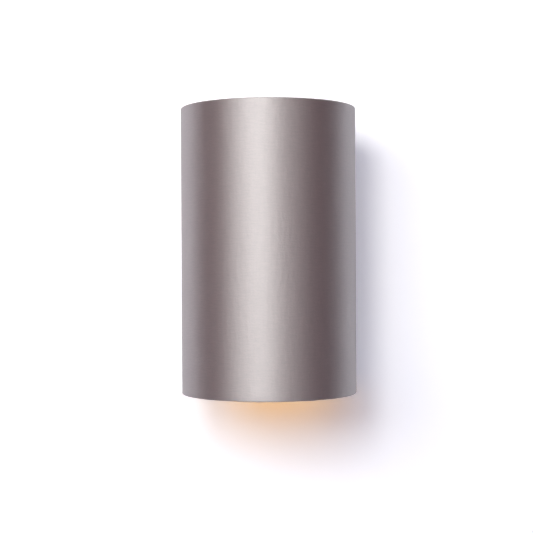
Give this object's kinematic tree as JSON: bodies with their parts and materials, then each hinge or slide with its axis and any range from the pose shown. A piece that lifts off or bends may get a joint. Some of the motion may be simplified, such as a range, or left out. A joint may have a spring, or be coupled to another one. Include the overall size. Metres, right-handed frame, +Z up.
{
  "type": "tube wall light",
  "caption": "Wall light: a fabric cylinder open at both ends, held off the wall on a short arm, with a hidden rose and a bulb that lights the wall below and above.",
  "frame": {"origin": "centre of the wall plate's back face, on the wall, midway between the two screw slots", "axes": "+Z up along the tube, +Y into the wall, -Y into the room, +X to the right as seen from the room"},
  "size_m": [0.152, 0.173, 0.248],
  "materials": {
    "satin_fabric": "satin weave, taupe grey",
    "copper_liner": "metallised copper film, satin",
    "white_wire": "white epoxy coat",
    "white_rubber": "matt",
    "grey_rubber": "matt",
    "white_steel": "satin powder coat",
    "zinc_steel": "bright zinc plate",
    "nickel_steel": "nickel plate",
    "tinned_copper": "tin plate",
    "brass": "plain",
    "terminal_plastic": "translucent nylon look",
    "live_insulation": "silicone sleeve, brown",
    "neutral_insulation": "silicone sleeve, blue",
    "earth_insulation": "green with yellow stripe",
    "holder_plastic": "thermoset, white",
    "holder_ceramic": "unglazed ceramic",
    "ring_plastic": "thermoset, white",
    "solder": "dull solder",
    "black_glass": "black glass insulator",
    "bulb_plastic": "moulded white",
    "opal_plastic": "opal diffuser",
    "led_board": "white solder mask"
  },
  "bodies": {
    "root": {"shade_fabric": "satin_fabric", "shade_liner": "copper_liner", "top_hoop": "white_wire", "bottom_hoop": "white_wire", "fitter_legs": "white_wire", "fitter_ring": "white_wire", "arm_eyelet": "white_rubber", "wall_plate": "zinc_steel", "plate_brackets": "zinc_steel", "cable_grommet": "grey_rubber", "rose_cover": "white_steel", "rose_screws": "nickel_steel", "earth_screw": "nickel_steel", "earth_lug": "tinned_copper", "terminal_block": "terminal_plastic", "terminal_bars": "brass", "terminal_screws": "zinc_steel", "terminal_fixing_screw": "zinc_steel", "live_wire": "live_insulation", "neutral_wire": "neutral_insulation", "earth_wire": "earth_insulation", "arm_tube": "white_steel", "arm_collar": "white_steel", "arm_washer": "zinc_steel", "arm_nut": "zinc_steel", "elbow": "white_steel", "entry_nipple": "zinc_steel", "holder_cap": "holder_plastic", "holder_lock_screw": "zinc_steel", "holder_skirt": "holder_plastic", "holder_insert": "holder_ceramic", "holder_terminals": "brass", "centre_contact": "brass", "side_contact": "brass", "upper_shade_ring": "ring_plastic", "lower_shade_ring": "ring_plastic"},
    "bulb_travel": {"bulb_contact": "solder"},
    "bulb": {"bulb_insulator": "black_glass", "bulb_cap": "nickel_steel", "bulb_housing": "bulb_plastic", "bulb_dome": "opal_plastic", "led_board": "led_board"}
  },
  "joints": [
    {"name": "bulb_out", "type": "slide", "parent": "root", "child": "bulb_travel", "axis": [0, 0, -1], "range_m": [0, 0.01452]},
    {"name": "bulb_turn", "type": "hinge", "parent": "bulb_travel", "child": "bulb", "pos_m": [0, -0.097, -0.05], "axis": [0, 0, -1], "range_deg": [0, 1441]}
  ],
  "couplings": [
    {"joint": "bulb_turn", "follows": "bulb_out", "rad_per_m": 1731.4}
  ]
}
